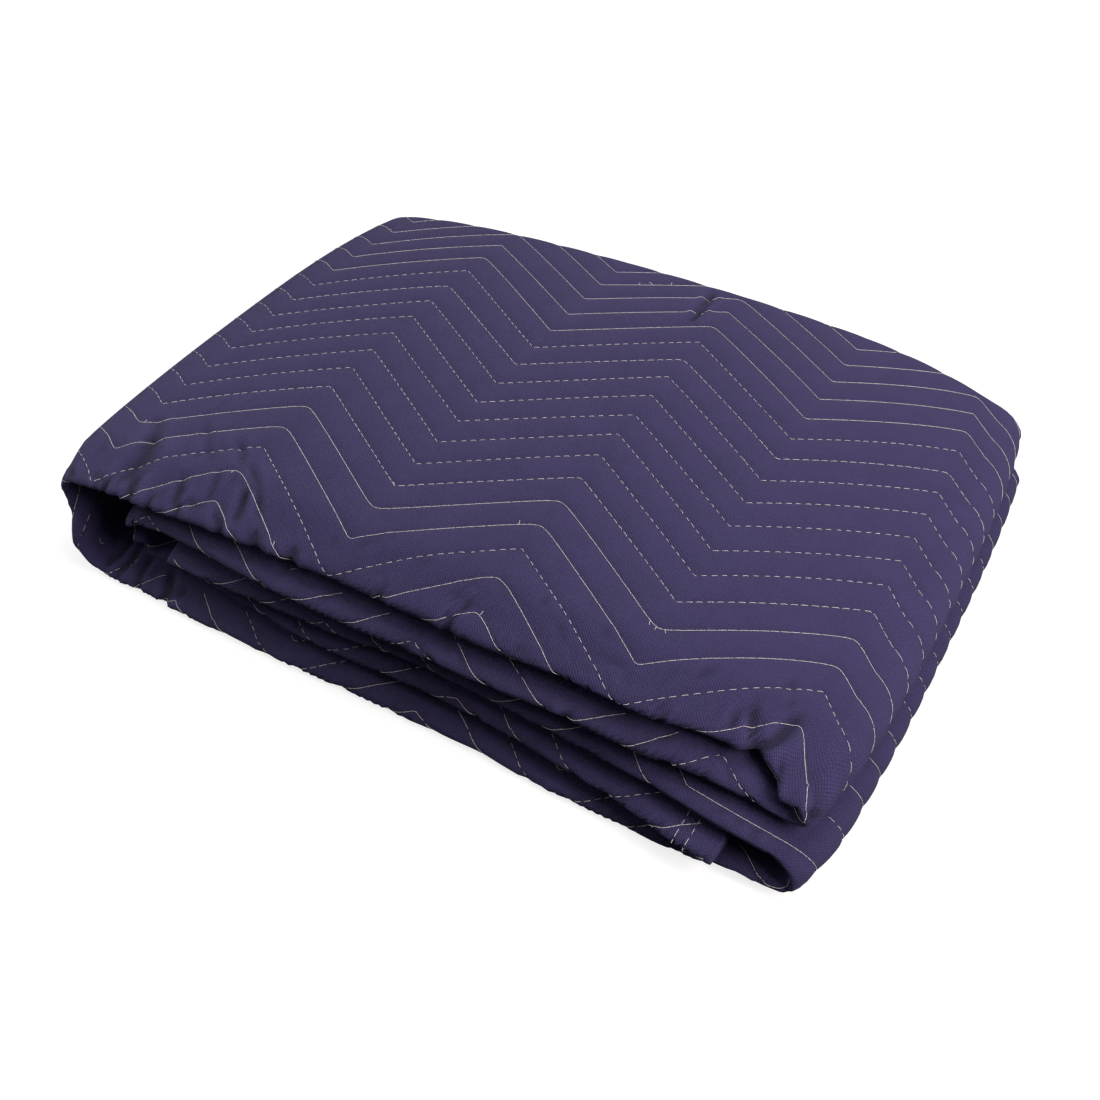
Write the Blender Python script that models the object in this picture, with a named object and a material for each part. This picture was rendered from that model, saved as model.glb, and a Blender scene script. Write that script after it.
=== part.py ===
"""Folded moving blanket: one quilted cloth, folded in six across its width and in five along its length.

Metres, +Z up. X runs along the folded pile and Y away from its front edge. The origin is the middle of
the pile's footprint, on the surface that it lies on.
"""

import math

import bmesh
import bpy
from mathutils import Vector

INCH = 0.0254
MM = 0.001

# The cloth, first folded in half: from here on its two plies lie together as one doubled ply
CLOTH_WIDTH = 72 * INCH
DOUBLED_WIDTH = CLOTH_WIDTH / 2
DOUBLED_THICKNESS = 4.1 * MM
DOUBLED_PITCH = 4.5 * MM

# The zigzag quilting
HALF_WAVE = 3 * INCH
ROW_SPACING = 0.75 * INCH
ZIGZAG_HEIGHT = 2 * INCH
ROW_OFFSET = -3.0 * MM
PUFF = 1.2 * MM

# The pile: five layers of the six-ply strip, with the zigzag's first valley at x = 0 before centring
LAYER_PITCH = 14.75 * MM
LEFT_END = -33.0 * MM
RIGHT_END_TOP = 409.0 * MM
RIGHT_END_LOW = 412.0 * MM
WRAP_CORNER_RADIUS = 16.0 * MM
INNER_TURN_LEFT = 26.0 * MM
TUCKED_END = 371.0 * MM
HIDDEN_END = 52.0 * MM
FRONT_EDGE = -160.0 * MM
PILE_CENTRE = Vector((189.8 * MM, -9.8 * MM, 0))

# How far each layer's front edge stands behind the pile's, at the left, the middle and the right
FRONT_SHIFT_MM = {
    "layer": ("left", "middle", "right"),
    1: (-1.5, 4.0, 4.0),
    2: (-5.0, -4.0, -4.0),
    3: (-4.0, 0.0, -11.0),
    4: (0.0, -1.5, -17.0),
    5: (-6.5, -8.0, -8.5),
}

# How far each layer's front fold is drawn back, from the left end to the right, the cloth behind it staying
FRONT_DRAW_MM = {
    "layer": ("left", "fifth", "two fifths", "three fifths", "four fifths", "right"),
    1: (8.0, 7.5, 5.3, 4.7, 6.0, 18.0),
    2: (4.0, 4.0, 3.5, 3.5, 6.5, 12.0),
    3: (2.5, 2.0, 1.0, 5.0, 7.0, 7.5),
    4: (4.5, 3.0, 1.0, 4.0, 4.5, 1.5),
    5: (1.0, -1.5, 0.0, 0.0, -2.0, -2.0),
}
FRONT_DRAW_LENGTH = 90.0 * MM

# Slump of the pile, in half waves: how far its top drops towards the ends and the long edges
SLUMP_X2, SLUMP_X3, SLUMP_X4 = 0.053, 0.053, 0.108
SLUMP_Y2, SLUMP_Y4 = 0.031, 0.059
SLUMP_TAIL = 0.1
SLUMP_MIDDLE_X = 2.5 * HALF_WAVE
SLUMP_HALF_LENGTH = 2.5 * HALF_WAVE
SLUMP_HALF_WIDTH = 2.0 * HALF_WAVE

# How far the pile's ends and back edge draw in at its corners, and the left end at its waist and foot
DRAW_IN_RIGHT_TOP = 10.0 * MM
DRAW_IN_RIGHT_LOW = 6.0 * MM
DRAW_IN_LEFT = 9.0 * MM
DRAW_IN_BACK = 3.0 * MM
DRAW_IN_LENGTH = 120.0 * MM
WAIST_DEPTH = 8.0 * MM
WAIST_HEIGHT = 11.0 * MM
FOOT_DEPTH = 8.0 * MM
BACK_EASE = 1.02

INDIGO = (0.060, 0.052, 0.120, 1.0)

HALF_STRIP = DOUBLED_PITCH + DOUBLED_THICKNESS / 2
PILE_HEIGHT = 4 * LAYER_PITCH + 2 * HALF_STRIP
BACK_FOLD_RADIUS = 0.5 * DOUBLED_PITCH
FRONT_FOLD_RADIUS = DOUBLED_PITCH
THIRD_WIDTH = (DOUBLED_WIDTH - math.pi * (BACK_FOLD_RADIUS + FRONT_FOLD_RADIUS)) / 3
FRONT_TURN = FRONT_EDGE + HALF_STRIP
BACK_TURN = FRONT_TURN + THIRD_WIDTH
TUCKED_SETBACK = 3.0 * MM
HIDDEN_PLACES = (0.08, 0.24, 0.5, 0.76, 0.92)
UNDERSIDE_PLACES = (0.06, 0.16, 0.3, 0.5, 0.7, 0.84, 0.94)


def layer_height(layer):
    """Height of a layer's middle, with layer 1 the top one and 5 the lowest."""
    return HALF_STRIP + (5 - layer) * LAYER_PITCH


def arc(centre_y, centre_n, radius, start, end, steps):
    """Points of an arc in the strip's section, from a start to an end angle in degrees."""
    points = []
    for step in range(steps + 1):
        angle = math.radians(start + (end - start) * step / steps)
        points.append((centre_y + radius * math.cos(angle), centre_n + radius * math.sin(angle)))
    return points


def flat(height, front, places=HIDDEN_PLACES):
    """Points along a flat stretch of the section, from its front or from its back."""
    ordered = places if front else tuple(reversed(places))
    return [(FRONT_TURN + share * THIRD_WIDTH, height) for share in ordered]


def zigzag(run):
    """How far a quilting row stands above its valley, at a length along the cloth from a valley."""
    phase = (run / HALF_WAVE) % 2
    return ZIGZAG_HEIGHT * (1 - abs(phase - 1))


def near_front(y):
    """How fully a place follows the front fold as it is drawn back: 1 at the fold, 0 behind the drawn length."""
    return smooth((FRONT_TURN + FRONT_DRAW_LENGTH - y) / FRONT_DRAW_LENGTH)


def before_drawing(y, drawn):
    """Where a place of the drawn cloth lay on the flat one."""
    flat_y = y
    for _ in range(4):
        flat_y = y + drawn * near_front(flat_y)
    return flat_y


def quilted_face(run, drawn):
    """Places along the upper face, behind its front turn, on the stitch rows and halfway between them.

    Rows that have run off an edge are spread over the narrow strip between that edge and the last row.
    Where the front fold is drawn back, more of the cloth goes round it, so the rows keep their places.
    """
    step = ROW_SPACING / 2
    margin = 0.3 * step
    lowest = math.floor((FRONT_TURN - ZIGZAG_HEIGHT) / ROW_SPACING) * ROW_SPACING + ROW_OFFSET
    count = math.ceil((BACK_TURN - lowest) / step)
    rides = [lowest + step * index + zigzag(run) for index in range(count)]
    slid = [y - drawn * near_front(y) for y in rides]
    places = [y for y in slid if FRONT_TURN + margin < y < BACK_TURN - margin]
    before = sum(y <= FRONT_TURN + margin for y in slid)
    after = sum(y >= BACK_TURN - margin for y in slid)
    front = [FRONT_TURN + (places[0] - FRONT_TURN) * (k + 1) / (before + 1) for k in range(before)]
    back = [BACK_TURN + (places[-1] - BACK_TURN) * (after - k) / (after + 1) for k in range(after)]
    return front + places + back


def puff(y, run):
    """Height of the wadding between two stitch rows, from 0 on a row to 1 halfway."""
    phase = (y - ROW_OFFSET - zigzag(run)) / ROW_SPACING % 1
    return 1 - (2 * phase - 1) ** 2


def section(run, drawn):
    """The strip's closed section, folded in three like a letter: points across and up, and their quilting.

    The middle third is tucked in, the lowest is joined to it at the back and to the highest at the front.
    """
    half = DOUBLED_THICKNESS / 2
    pitch = DOUBLED_PITCH
    middle_front = FRONT_TURN + TUCKED_SETBACK
    loop = []

    def add(points):
        loop.extend((y, n, 0.0) for y, n in points)

    add([(middle_front, half)])
    add(flat(half, front=True))
    add(arc(BACK_TURN, -BACK_FOLD_RADIUS, BACK_FOLD_RADIUS + half, 90, -90, 4))
    add(flat(-pitch - half, front=False, places=UNDERSIDE_PLACES))
    add(arc(FRONT_TURN, 0, HALF_STRIP, 270, 90, 6))
    loop.extend((y, HALF_STRIP, puff(before_drawing(y, drawn), run)) for y in quilted_face(run, drawn))
    add(arc(BACK_TURN, pitch, half, 90, -90, 3))
    add(flat(pitch - half, front=False))
    add(arc(FRONT_TURN, 0, FRONT_FOLD_RADIUS - half, 90, 270, 3))
    add(flat(-pitch + half, front=True))
    add(arc(BACK_TURN, -BACK_FOLD_RADIUS, BACK_FOLD_RADIUS - half, -90, 90, 2))
    add(flat(-half, front=False))
    add([(middle_front, -half)])
    return loop


def strip_path():
    """The strip's way through the pile, from its tucked end: straight runs and turns, with their layers.

    Each entry is a kind, a length or a radius, for a turn its sweep in degrees, and the two layers it joins.
    """
    inner = INNER_TURN_LEFT + HALF_STRIP + LAYER_PITCH
    top = RIGHT_END_TOP - HALF_STRIP - LAYER_PITCH / 2
    low = RIGHT_END_LOW - HALF_STRIP - LAYER_PITCH
    wrap = LEFT_END + HALF_STRIP + WRAP_CORNER_RADIUS
    upright = 4 * LAYER_PITCH - 2 * WRAP_CORNER_RADIUS
    return [
        ("run", TUCKED_END - inner, 4, 4),
        ("turn", LAYER_PITCH, -180, 4, 2),
        ("run", top - inner, 2, 2),
        ("turn", LAYER_PITCH / 2, 180, 2, 1),
        ("run", top - wrap, 1, 1),
        ("turn", WRAP_CORNER_RADIUS, 90, 1, 1),
        ("run", upright, 1, 5),
        ("turn", WRAP_CORNER_RADIUS, 90, 5, 5),
        ("run", low - wrap, 5, 5),
        ("turn", LAYER_PITCH, 180, 5, 3),
        ("run", low - HIDDEN_END, 3, 3),
    ]


def stations():
    """Sections along the strip: x, z, heading in radians, length so far and the share of each layer."""
    x, z, heading = TUCKED_END, layer_height(4), math.pi
    done = 0.0
    placed = [(x, z, heading, done, (4, 4, 0.0))]
    valley = first_valley()
    for entry in strip_path():
        kind, size, *rest = entry
        if kind == "run":
            layers = tuple(rest)
            step = HALF_WAVE / (2 if layers == (1, 1) else 1) if layers[0] == layers[1] else size / 2
            cuts = run_cuts(done, size, step, valley if layers[0] == layers[1] else done)
            for cut in cuts:
                share = cut / size
                placed.append(
                    (x + cut * math.cos(heading), z + cut * math.sin(heading), heading, done + cut, (*layers, share))
                )
            x += size * math.cos(heading)
            z += size * math.sin(heading)
            done += size
        else:
            sweep = math.radians(rest[0])
            layers = (rest[1], rest[2])
            steps = max(3, round(abs(rest[0]) / 36))
            side_sign = 1 if sweep > 0 else -1
            centre_x = x - side_sign * size * math.sin(heading)
            centre_z = z + side_sign * size * math.cos(heading)
            for step in range(1, steps + 1):
                turned = heading + sweep * step / steps
                placed.append(
                    (
                        centre_x + side_sign * size * math.sin(turned),
                        centre_z - side_sign * size * math.cos(turned),
                        turned,
                        done + size * abs(sweep) * step / steps,
                        (*layers, step / steps),
                    )
                )
            x, z, heading = placed[-1][:3]
            done += size * abs(sweep)
    return placed


def run_cuts(done, size, step, valley):
    """Places along a straight run where the zigzag turns, and its end."""
    cuts = []
    cut = step - (done - valley) % step
    while cut < size - 0.15 * step:
        if cut > 0.15 * step:
            cuts.append(cut)
        cut += step
    return [*cuts, size]


def first_valley():
    """Length along the strip where the top layer's zigzag has its valley at x = 0."""
    done = 0.0
    for entry in strip_path():
        if entry[0] == "run" and entry[2:] == (1, 1):
            return done + RIGHT_END_TOP - HALF_STRIP - LAYER_PITCH / 2
        done += entry[1] if entry[0] == "run" else entry[1] * math.radians(abs(entry[2]))
    return done


def smooth(value):
    """Rises smoothly from 0 to 1."""
    value = min(max(value, 0.0), 1.0)
    return value * value * (3 - 2 * value)


def along_layers(table, x, layers):
    """A table's value at a place along the pile, for a layer or part way between two."""
    first, second, share = layers
    found = []
    for layer in (first, second):
        values = table[layer]
        place = min(max(x / (5 * HALF_WAVE), 0.0), 1.0) * (len(values) - 1)
        column = min(int(place), len(values) - 2)
        found.append(values[column] + (values[column + 1] - values[column]) * smooth(place - column))
    return (found[0] + (found[1] - found[0]) * smooth(share)) * MM


def slump(x, y):
    """How much of its height the pile keeps at a place."""
    u = (x - SLUMP_MIDDLE_X) / SLUMP_HALF_LENGTH
    if abs(u) > 1:
        u = math.copysign(1 + SLUMP_TAIL * math.tanh((abs(u) - 1) / SLUMP_TAIL), u)
    v = y / SLUMP_HALF_WIDTH
    drop = SLUMP_X2 * u**2 + SLUMP_X3 * u**3 + SLUMP_X4 * u**4 + SLUMP_Y2 * v**2 + SLUMP_Y4 * v**4
    return 1 - drop * HALF_WAVE / PILE_HEIGHT


def settle(x, y, z):
    """Moves a point of the neat pile to where it lies in the slumped one."""
    across = abs(y / (2 * HALF_WAVE)) ** 3
    along = ((x - SLUMP_MIDDLE_X) / (2.85 * HALF_WAVE)) ** 8
    at_right = smooth((x - RIGHT_END_TOP) / DRAW_IN_LENGTH + 1)
    at_left = smooth((LEFT_END - x) / DRAW_IN_LENGTH + 1)
    at_back = smooth(y / DRAW_IN_LENGTH)
    rise = z / PILE_HEIGHT
    right_draw = DRAW_IN_RIGHT_LOW + (DRAW_IN_RIGHT_TOP - DRAW_IN_RIGHT_LOW) * smooth(2 * rise - 0.6)
    waist = WAIST_DEPTH * math.exp(-(((z - PILE_HEIGHT / 2) / WAIST_HEIGHT) ** 2))
    foot = FOOT_DEPTH * max(1 - 3 * rise, 0.0) ** 2
    moved_x = x - right_draw * across * at_right + (DRAW_IN_LEFT * across + waist + foot) * at_left
    moved_y = y + ((BACK_EASE - 1) * y - DRAW_IN_BACK * along) * at_back
    return Vector((moved_x, moved_y, z * slump(x, y)))


def blanket_mesh():
    """The whole folded cloth: its section changes as the rows slide across it, so it is a hand-made loft."""
    valley = first_valley()
    mesh = bmesh.new()
    rings = []
    placed = stations()
    for station in placed:
        x, z, heading, done, layers = station
        up_x, up_z = math.sin(heading), -math.cos(heading)
        is_hem = station in (placed[0], placed[-1])
        shift = along_layers(FRONT_SHIFT_MM, x, layers)
        drawn = along_layers(FRONT_DRAW_MM, x, layers)
        ring = []
        for y, n, quilted in section(done - valley, drawn):
            exposure = 1.0 if layers[:2] == (1, 1) and up_z > 0.5 else abs(up_x) ** 2
            height = n + PUFF * quilted * exposure
            place_z = max(z + height * up_z, 0.0)
            place = settle(x + height * up_x, y + shift + drawn * near_front(y), place_z)
            if is_hem:
                place.x = settle(x, FRONT_EDGE, z).x
            ring.append(mesh.verts.new(place - PILE_CENTRE))
        rings.append(ring)
    count = len(rings[0])
    for near, far in zip(rings, rings[1:]):
        for index in range(count):
            following = (index + 1) % count
            mesh.faces.new((near[index], near[following], far[following], far[index]))
    mesh.faces.new(rings[0])
    mesh.faces.new(rings[-1])
    bmesh.ops.recalc_face_normals(mesh, faces=mesh.faces)
    return mesh


def quilted_cloth():
    """Indigo cotton and polyester cloth, quilted over wadding."""
    material = bpy.data.materials.new("quilted_cloth")
    material.use_nodes = True
    shader = material.node_tree.nodes["Principled BSDF"]
    shader.inputs["Base Color"].default_value = INDIGO
    shader.inputs["Roughness"].default_value = 0.9
    shader.inputs["Metallic"].default_value = 0.0
    material.diffuse_color = INDIGO
    return material


for old in list(bpy.context.scene.objects):
    bpy.data.objects.remove(old, do_unlink=True)

pile = bpy.data.collections.new("moving_blanket")
bpy.context.scene.collection.children.link(pile)
blanket_data = bpy.data.meshes.new("blanket")
built = blanket_mesh()
built.to_mesh(blanket_data)
built.free()
blanket_data.materials.append(quilted_cloth())
blanket = bpy.data.objects.new("blanket", blanket_data)
pile.objects.link(blanket)
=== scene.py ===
import math

import bpy
import numpy as np
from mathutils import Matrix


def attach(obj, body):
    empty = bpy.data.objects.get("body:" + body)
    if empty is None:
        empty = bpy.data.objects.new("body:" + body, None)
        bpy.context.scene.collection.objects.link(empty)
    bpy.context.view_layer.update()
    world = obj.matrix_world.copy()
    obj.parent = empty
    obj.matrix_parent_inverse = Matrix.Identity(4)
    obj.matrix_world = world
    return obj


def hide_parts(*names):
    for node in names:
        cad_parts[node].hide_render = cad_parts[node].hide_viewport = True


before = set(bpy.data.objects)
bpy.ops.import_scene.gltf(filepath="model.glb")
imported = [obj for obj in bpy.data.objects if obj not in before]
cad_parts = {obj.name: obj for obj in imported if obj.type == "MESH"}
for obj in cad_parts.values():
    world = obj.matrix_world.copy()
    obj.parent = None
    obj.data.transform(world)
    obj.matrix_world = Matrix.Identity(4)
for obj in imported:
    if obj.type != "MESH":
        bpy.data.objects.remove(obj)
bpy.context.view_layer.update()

# The cloth: two woven covers with a thin wadding between them, quilted in zigzag rows, 72 inches wide.
# It is folded in half and then in three across, which makes a strip of six plies, and the strip is
# folded back and forth into five layers, with its first end tucked in and its outer layer wrapped round.

INCH = 0.0254
MM = 0.001

CLOTH_SIZE = (72 * INCH, 80 * INCH)
PLY_THICKNESS = 1.85 * MM
PLY_PITCH = 2.25 * MM
PLIES = 6

HALF_WAVE = 3 * INCH
ROW_SPACING = 0.75 * INCH
ZIGZAG_HEIGHT = 2 * INCH
ROW_OFFSET = -4.0 * MM
PUFF = 1.1 * MM
PUFF_SHOULDER = 2.6 * MM

LAYER_PITCH = 14.75 * MM
LEFT_END = -33.0 * MM
RIGHT_END_TOP = 409.0 * MM
RIGHT_END_LOW = 412.0 * MM
WRAP_CORNER_RADIUS = 16.0 * MM
INNER_TURN_LEFT = 26.0 * MM
TUCKED_END = 371.0 * MM
HIDDEN_END = 52.0 * MM
FRONT_EDGE = -160.0 * MM
PILE_CENTRE = np.array((189.8 * MM, -9.8 * MM, 0.0))

FRONT_SHIFT_MM = {
    "layer": ("left", "middle", "right"),
    1: (-1.5, 4.0, 4.0),
    2: (-5.0, -4.0, -4.0),
    3: (-4.0, 0.0, -11.0),
    4: (0.0, -1.5, -17.0),
    5: (-6.5, -8.0, -8.5),
}

FRONT_DRAW_MM = {
    "layer": ("left", "fifth", "two fifths", "three fifths", "four fifths", "right"),
    1: (8.0, 7.5, 5.3, 4.7, 6.0, 18.0),
    2: (4.0, 4.0, 3.5, 3.5, 6.5, 12.0),
    3: (2.5, 2.0, 1.0, 5.0, 7.0, 7.5),
    4: (4.5, 3.0, 1.0, 4.0, 4.5, 1.5),
    5: (1.0, -1.5, 0.0, 0.0, -2.0, -2.0),
}
FRONT_DRAW_LENGTH = 90.0 * MM
EDGE_WAVE = 0.5 * MM
EDGE_WAVE_LONG = 25.0 * MM
EDGE_WAVE_SHORT = 11.0 * MM
NOSE_REACH = 24.0 * MM
NOSE_SQUASH = 0.52
INNER_TURN_MOVE = np.array((-15.0 * MM, 5.0 * MM, 1.0 * MM))
INNER_TURN_REACH = 75.0 * MM
CORNER_PUFF = np.array((2.0 * MM, -11.0 * MM, -2.5 * MM))
LOW_LIP_PUFF = np.array((0.0 * MM, 1.0 * MM, 5.0 * MM))

SLUMP_X2, SLUMP_X3, SLUMP_X4 = 0.053, 0.053, 0.108
SLUMP_Y2, SLUMP_Y4 = 0.031, 0.059
SLUMP_TAIL = 0.1
SLUMP_MIDDLE_X = 2.5 * HALF_WAVE
SLUMP_HALF_LENGTH = 2.5 * HALF_WAVE
SLUMP_HALF_WIDTH = 2.0 * HALF_WAVE

DRAW_IN_RIGHT_TOP = 10.0 * MM
DRAW_IN_RIGHT_LOW = 6.0 * MM
DRAW_IN_LEFT = 9.0 * MM
FRONT_LEFT_TOP = 3.0 * MM
FRONT_LEFT_FOOT = 16.0 * MM
DRAW_IN_BACK = 3.0 * MM
DRAW_IN_LENGTH = 120.0 * MM
WAIST_DEPTH = 8.0 * MM
WAIST_HEIGHT = 11.0 * MM
FOOT_DEPTH = 8.0 * MM
BACK_EASE = 1.02

HALF_STRIP = 2.5 * PLY_PITCH + PLY_THICKNESS / 2
PILE_HEIGHT = 4 * LAYER_PITCH + 2 * HALF_STRIP
FRONT_TURN = FRONT_EDGE + HALF_STRIP
THIRD_WIDTH = (CLOTH_SIZE[0] / 2 - math.pi * 3 * PLY_PITCH) / 3
BACK_TURN = FRONT_TURN + THIRD_WIDTH
HEM_SETBACK = 3.0 * MM


def layer_height(layer):
    """Height of a layer's middle, with layer 1 the top one and 5 the lowest."""
    return HALF_STRIP + (5 - layer) * LAYER_PITCH


def strip_stretches():
    """The strip's straight runs and turns, each with its start, its length, its sweep and its two layers."""
    inner = INNER_TURN_LEFT + HALF_STRIP + LAYER_PITCH
    top = RIGHT_END_TOP - HALF_STRIP - LAYER_PITCH / 2
    low = RIGHT_END_LOW - HALF_STRIP - LAYER_PITCH
    wrap = LEFT_END + HALF_STRIP + WRAP_CORNER_RADIUS
    quarter, half = WRAP_CORNER_RADIUS * math.pi / 2, LAYER_PITCH * math.pi / 2
    ways = [
        (TUCKED_END - inner, 0, 4, 4),
        (2 * half, -180, 4, 2),
        (top - inner, 0, 2, 2),
        (half, 180, 2, 1),
        (top - wrap, 0, 1, 1),
        (quarter, 90, 1, 1),
        (4 * LAYER_PITCH - 2 * WRAP_CORNER_RADIUS, 0, 1, 5),
        (quarter, 90, 5, 5),
        (low - wrap, 0, 5, 5),
        (2 * half, 180, 5, 3),
        (low - HIDDEN_END, 0, 3, 3),
    ]
    x, z, heading, done = TUCKED_END, layer_height(4), math.pi, 0.0
    stretches = []
    for length, sweep_deg, first, second in ways:
        sweep = math.radians(sweep_deg)
        stretches.append((done, length, x, z, heading, sweep, first, second))
        done += length
        if sweep:
            radius = length / sweep
            x += radius * (math.sin(heading + sweep) - math.sin(heading))
            z -= radius * (math.cos(heading + sweep) - math.cos(heading))
            heading += sweep
        else:
            x += length * math.cos(heading)
            z += length * math.sin(heading)
    return stretches


STRETCHES = strip_stretches()
STRIP_LENGTH = STRETCHES[-1][0] + STRETCHES[-1][1]
TOP_RUN = STRETCHES[4]
FIRST_VALLEY = TOP_RUN[0] + TOP_RUN[2]


def smooth(value):
    """Rises smoothly from 0 to 1."""
    value = np.clip(value, 0.0, 1.0)
    return value * value * (3 - 2 * value)


def along_layers(table, x, first, second, share):
    """A table's values at places along the pile, for a layer or part way between two."""
    found = []
    for values in (table[first], table[second]):
        place = np.clip(x / (5 * HALF_WAVE), 0, 1) * (len(values) - 1)
        column = np.minimum(place.astype(int), len(values) - 2)
        near, far = np.array(values)[column], np.array(values)[column + 1]
        found.append(near + (far - near) * smooth(place - column))
    return (found[0] + (found[1] - found[0]) * smooth(share)) * MM


def along_strip(done):
    """The strip's middle along it: x, z, heading, and how far it and its front fold alone stand back."""
    x, z, heading, setback, drawn = (np.zeros_like(done) for _ in range(5))
    for start, length, x0, z0, heading0, sweep, first, second in STRETCHES:
        here = done >= start - 1e-9
        share = np.clip((done[here] - start) / length, 0, 1)
        turned = heading0 + sweep * share
        if sweep:
            radius = length / sweep
            x[here] = x0 + radius * (np.sin(turned) - math.sin(heading0))
            z[here] = z0 - radius * (np.cos(turned) - math.cos(heading0))
        else:
            x[here] = x0 + share * length * math.cos(heading0)
            z[here] = z0 + share * length * math.sin(heading0)
        heading[here] = turned
        setback[here] = along_layers(FRONT_SHIFT_MM, x[here], first, second, share)
        waves = np.sin(x[here] / EDGE_WAVE_LONG + 2.3 * first) + 0.6 * np.sin(x[here] / EDGE_WAVE_SHORT + first)
        drawn[here] = along_layers(FRONT_DRAW_MM, x[here], first, second, share) + EDGE_WAVE * waves
    return x, z, heading, setback, drawn


def near_front(y):
    """How fully a place follows the front fold as it is drawn back: 1 at the fold, 0 well behind it."""
    return smooth((FRONT_TURN + FRONT_DRAW_LENGTH - y) / FRONT_DRAW_LENGTH)


# Flat stretches are (from y, to y, height) and folds (centre y, centre height, radius, from and to degrees)
PLY_HEIGHT = [(level - 2.5) * PLY_PITCH for level in range(PLIES)]
SECTION = [
    ("flat", FRONT_TURN + HEM_SETBACK, BACK_TURN, PLY_HEIGHT[2]),
    ("fold", BACK_TURN, -PLY_PITCH, 0.5 * PLY_PITCH, 90, -90),
    ("flat", BACK_TURN, FRONT_TURN, PLY_HEIGHT[1]),
    ("fold", FRONT_TURN, 0.0, 1.5 * PLY_PITCH, 270, 90),
    ("flat", FRONT_TURN, BACK_TURN, PLY_HEIGHT[4]),
    ("fold", BACK_TURN, 2 * PLY_PITCH, 0.5 * PLY_PITCH, -90, 90),
    ("flat", BACK_TURN, FRONT_TURN, PLY_HEIGHT[5]),
    ("fold", FRONT_TURN, 0.0, 2.5 * PLY_PITCH, 90, 270),
    ("flat", FRONT_TURN, BACK_TURN, PLY_HEIGHT[0]),
    ("fold", BACK_TURN, -PLY_PITCH, 1.5 * PLY_PITCH, -90, 90),
    ("flat", BACK_TURN, FRONT_TURN + HEM_SETBACK, PLY_HEIGHT[3]),
]


def section_lengths():
    """Where each stretch of the section begins, measured across the cloth, and the cloth's whole width."""
    places = [0.0]
    for kind, first, second, *rest in SECTION:
        length = abs(second - first) if kind == "flat" else rest[0] * math.radians(abs(rest[2] - rest[1]))
        places.append(places[-1] + length)
    return places


ACROSS = section_lengths()
TOP_PLY, FRONT_FOLD, UNDER_PLY, BACK_FOLD = 6, 7, 8, 9
TOP_LEVEL_ZERO = ACROSS[TOP_PLY] + BACK_TURN


def across_strip(width):
    """A point of the cloth's middle in the section, and the direction its outer face looks in."""
    y, n, face_y, face_n = (np.zeros_like(width) for _ in range(4))
    for (kind, first, second, *rest), start, end in zip(SECTION, ACROSS, ACROSS[1:]):
        here = width >= start - 1e-9
        share = np.clip((width[here] - start) / (end - start), 0, 1)
        if kind == "flat":
            y[here] = first + (second - first) * share
            n[here] = rest[0]
            face_y[here] = 0.0
            face_n[here] = 1.0 if second < first else -1.0
        else:
            radius, from_deg, to_deg = rest
            angle = np.radians(from_deg + (to_deg - from_deg) * share)
            sign = 1 if to_deg > from_deg else -1
            y[here] = first + radius * np.cos(angle)
            n[here] = second + radius * np.sin(angle)
            face_y[here] = sign * np.cos(angle)
            face_n[here] = sign * np.sin(angle)
    return y, n, face_y, face_n


def slump(x, y):
    """How much of its height the pile keeps at a place."""
    u = (x - SLUMP_MIDDLE_X) / SLUMP_HALF_LENGTH
    past = np.sign(u) * (1 + SLUMP_TAIL * np.tanh((np.abs(u) - 1) / SLUMP_TAIL))
    u = np.where(np.abs(u) > 1, past, u)
    v = y / SLUMP_HALF_WIDTH
    drop = SLUMP_X2 * u**2 + SLUMP_X3 * u**3 + SLUMP_X4 * u**4 + SLUMP_Y2 * v**2 + SLUMP_Y4 * v**4
    return 1 - drop * HALF_WAVE / PILE_HEIGHT


def settle(x, y, z):
    """Moves points of the neat pile to where they lie in the slumped one."""
    across = np.abs(y / (2 * HALF_WAVE)) ** 3
    along = ((x - SLUMP_MIDDLE_X) / (2.85 * HALF_WAVE)) ** 8
    at_right = smooth((x - RIGHT_END_TOP) / DRAW_IN_LENGTH + 1)
    at_left = smooth((LEFT_END - x) / DRAW_IN_LENGTH + 1)
    at_back = smooth(y / DRAW_IN_LENGTH)
    rise = z / PILE_HEIGHT
    right_draw = DRAW_IN_RIGHT_LOW + (DRAW_IN_RIGHT_TOP - DRAW_IN_RIGHT_LOW) * smooth(2 * rise - 0.6)
    at_front = smooth(-y / DRAW_IN_LENGTH)
    leaning = FRONT_LEFT_FOOT + (FRONT_LEFT_TOP - FRONT_LEFT_FOOT) * smooth(1.25 * rise - 0.2)
    left_draw = DRAW_IN_LEFT + (leaning - DRAW_IN_LEFT) * at_front
    waist = WAIST_DEPTH * (1 - 0.6 * at_front) * np.exp(-(((z - PILE_HEIGHT / 2) / WAIST_HEIGHT) ** 2))
    foot = FOOT_DEPTH * np.maximum(1 - 3 * rise, 0.0) ** 2
    moved_x = x - right_draw * across * at_right + (left_draw * across + waist + foot) * at_left
    moved_y = y + ((BACK_EASE - 1) * y - DRAW_IN_BACK * along) * at_back
    return np.stack((moved_x, moved_y, z * slump(x, y)), axis=-1) - PILE_CENTRE


# Rows whose thread turned its corners in a curve, with how far from the corner the curve begins
ROW_CURVE_MM = {6: 10.0, 7: 11.0, 9: 9.0, 10: 7.0, 5: 4.0, -1: 6.0, -3: 6.0, -5: 8.0, -6: 8.0}
PLAIN_CURVE = 1.2 * MM
ROUND_VALLEY_ROW = 6
ROW_RISE_LEFT = 6.5 * MM
ROW_FALL_RIGHT = 0.22
SQUARE_START = 492.0 * MM
SQUARE_LENGTH = 88.0 * MM


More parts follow.
